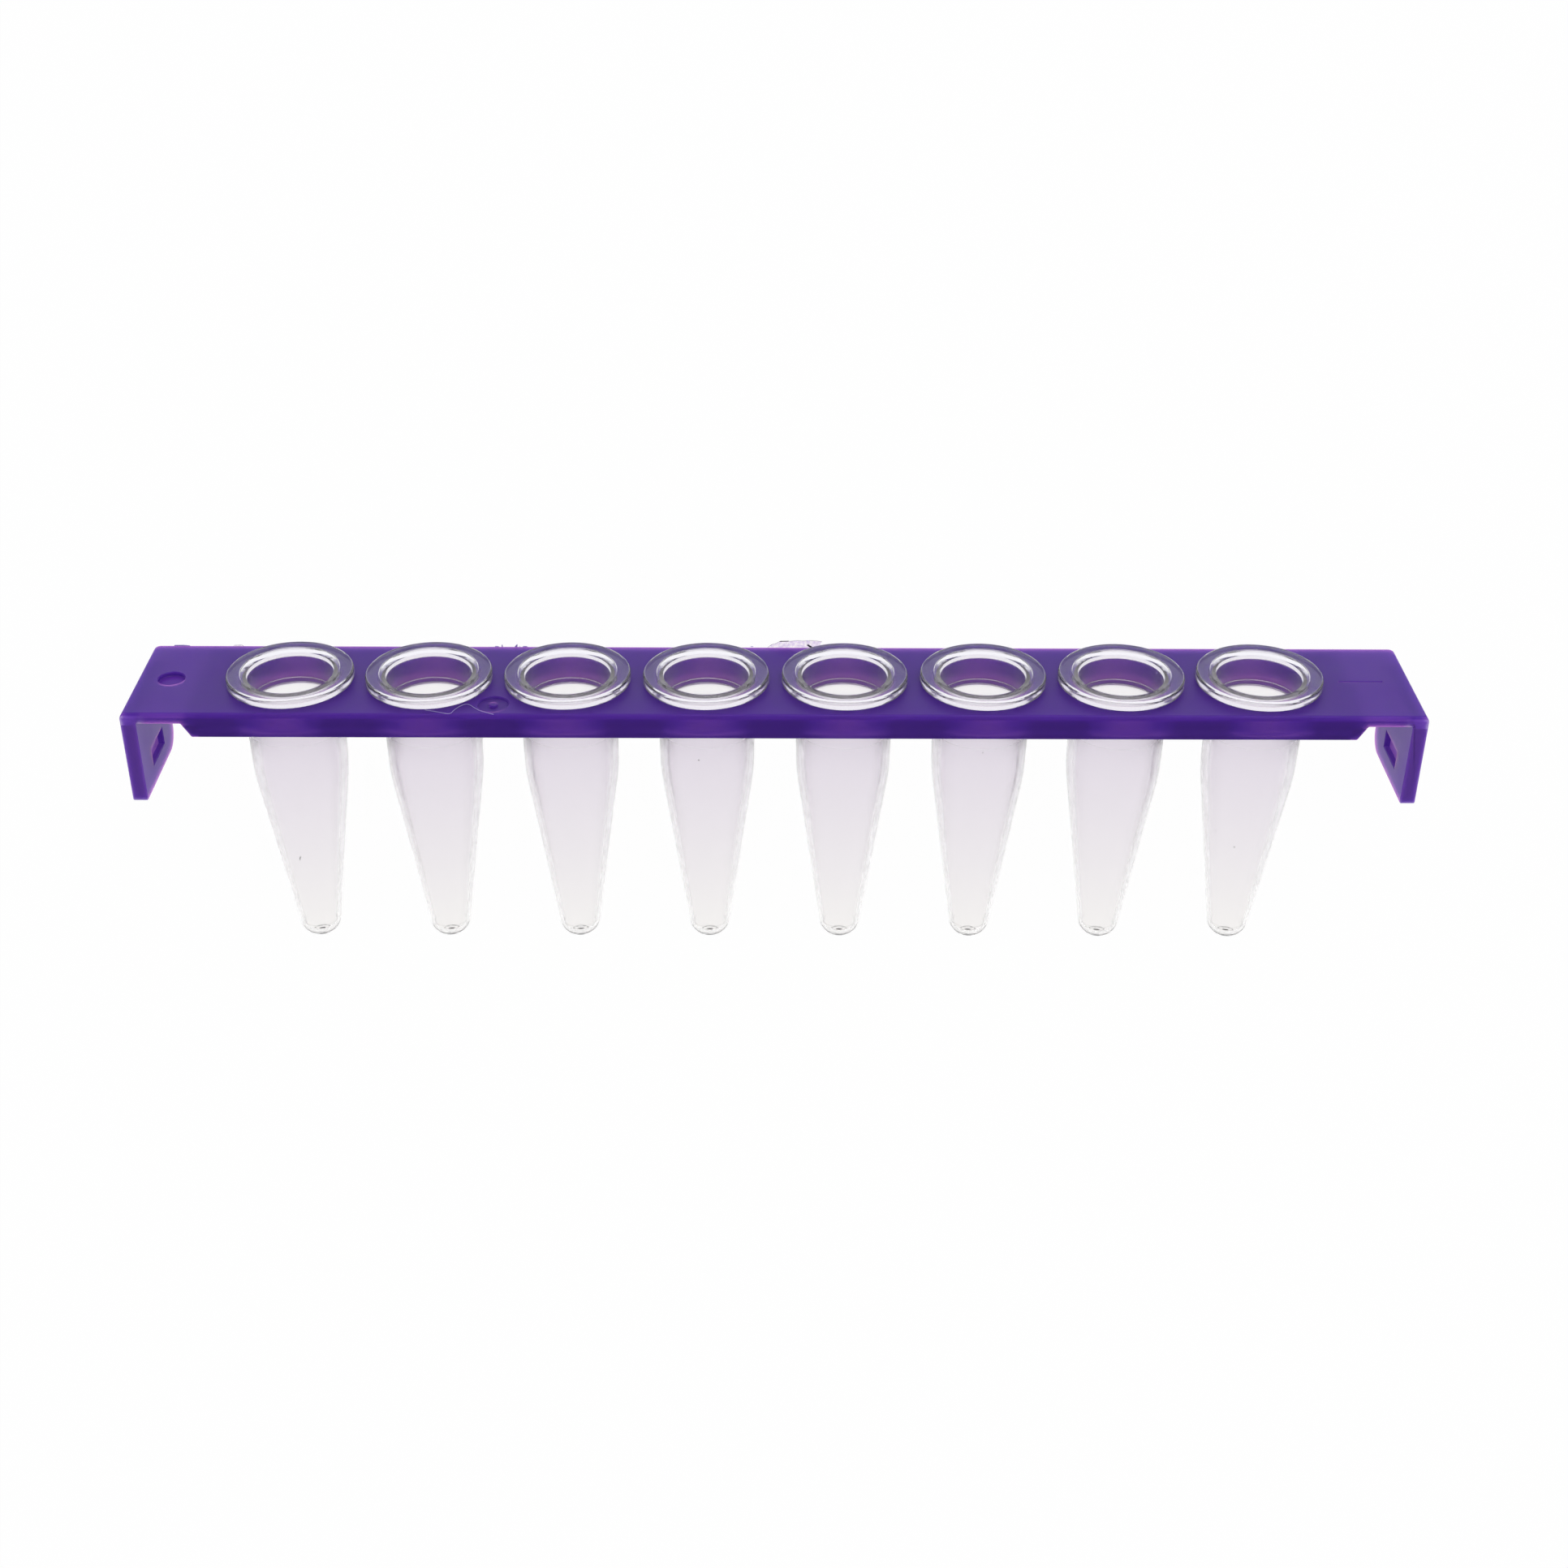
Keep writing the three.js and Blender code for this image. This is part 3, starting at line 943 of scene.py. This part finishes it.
speck_thickness = 0.03 * mm
speck_places = (
    # tube, then x, y, z, width and height in millimetres
    (0, -0.31, -2.22, -12.4, 0.05, 0.04), (0, -0.37, -2.22, -12.55, 0.025, 0.13),
    (3, -0.46, -3.03, -4.27, 0.045, 0.045), (5, -0.05, -3.08, -3.63, 0.04, 0.04),
    (7, -0.71, -2.25, -11.39, 0.05, 0.045), (7, -1.9, -1.6, -10.53, 0.04, 0.035),
)
speck_form = bmesh.new()
for tube, x, y, z, width, height in speck_places:
    stretch = Matrix.Diagonal((width * mm, speck_thickness, height * mm, 1))
    spot = Matrix.Translation((first_tube + tube * pitch + x * mm, y * mm, z * mm))
    bmesh.ops.create_icosphere(speck_form, subdivisions=2, radius=1, matrix=spot @ stretch)
specks = solid("burnt_specks", speck_form)
specks.data.transform(lie)
# Charred plastic is dull and grey-brown.
specks.data.materials.append(even_plastic("burnt polypropylene", "5a5552", 0.6))
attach(specks, "root")


# Floor
# A wide sheet of white paper under the strip. It shows white by its own colour, also through
# the tubes and in their gloss, and where the strip keeps light from it a soft shadow stays.

floor_half = 2.0                    # metres
glow_to_eye = 0.985
glow_to_strip = 0.6
floor_form = bmesh.new()
corners = [(-1, -1), (1, -1), (1, 1), (-1, 1)]
floor_form.faces.new([floor_form.verts.new((x * floor_half, y * floor_half, 0)) for x, y in corners])
floor = solid("floor", floor_form)
# Matt white paper: even, with no sheen.
paper, tree = material("white paper")
rays = add(tree, "ShaderNodeLightPath").outputs
seen = rays["Is Camera Ray"]
for kind in ("Is Glossy Ray", "Is Transmission Ray"):
    either = add(tree, "ShaderNodeMath", {"operation": "MAXIMUM"}, {"Value": seen, "Value_001": rays[kind]})
    seen = either.outputs["Value"]
share = add(tree, "ShaderNodeMapRange", {"To Min": glow_to_strip, "To Max": glow_to_eye}, {"Value": seen})
lit = add(tree, "ShaderNodeBsdfDiffuse", {"Color": linear("fafafc")})
glow = add(tree, "ShaderNodeEmission", {"Color": linear("ffffff"), "Strength": 1})
both = add(tree, "ShaderNodeMixShader", {}, {
    "Fac": share.outputs["Result"], "Shader": lit.outputs["BSDF"], "Shader_001": glow.outputs["Emission"],
})
add(tree, "ShaderNodeOutputMaterial", {}, {"Surface": both.outputs["Shader"]})
floor.data.materials.append(paper)


# Light
# A bright even room with a dimmer ceiling, so that flat tops don't wash out, and one soft lamp
# behind the strip that brings out the round edges and the rims.

ceiling_starts = 0.42               # sine of the height above the horizon
ceiling_full = 0.8
ceiling_light = 0.3
world = bpy.data.worlds.new("studio")
bpy.context.scene.world = world
world.use_nodes = True
sky = world.node_tree
sky.nodes.clear()
way = add(sky, "ShaderNodeTexCoord").outputs["Generated"]
height = add(sky, "ShaderNodeSeparateXYZ", {}, {"Vector": way}).outputs["Z"]
strength = add(sky, "ShaderNodeMapRange", {
    "interpolation_type": "SMOOTHSTEP", "From Min": ceiling_starts, "From Max": ceiling_full,
    "To Min": 1, "To Max": ceiling_light,
}, {"Value": height})
air = add(sky, "ShaderNodeBackground", {"Color": linear("ffffff")}, {
    "Strength": strength.outputs["Result"],
})
add(sky, "ShaderNodeOutputWorld", {}, {"Surface": air.outputs["Background"]})

lamp_place = Vector((0.1, 0.35, 0.25))
light = bpy.data.lights.new("soft lamp", "AREA")
light.shape = "DISK"
light.size = 0.25
light.energy = 0.4
lamp = bpy.data.objects.new("soft lamp", light)
lamp.location = lamp_place
lamp.rotation_euler = (-lamp_place).to_track_quat("-Z", "Y").to_euler()
bpy.context.scene.collection.objects.link(lamp)


# Camera
# It looks down on the strip's front side from above its mouths, about 14 cm away. Its place
# and angles are taken on the standing strip and laid down with it.

camera_place = Vector((-0.271, -124.918, 68.13)) * mm
camera_pitch = math.radians(31.334)
camera_yaw = math.radians(-0.4)
camera_roll = math.radians(0.357)
lens = bpy.data.cameras.new("camera")
lens.sensor_width = 36
lens.lens = 50.125
lens.clip_start = 1 * mm
camera = bpy.data.objects.new("camera", lens)
look = Matrix.Rotation(camera_yaw, 4, "Z") @ Matrix.Rotation(math.pi / 2 - camera_pitch, 4, "X")
look = look @ Matrix.Rotation(camera_roll, 4, "Z")
camera.matrix_world = lie @ Matrix.Translation(camera_place) @ look
bpy.context.scene.collection.objects.link(camera)
bpy.context.scene.camera = camera

bpy.context.scene.view_settings.view_transform = "Standard"
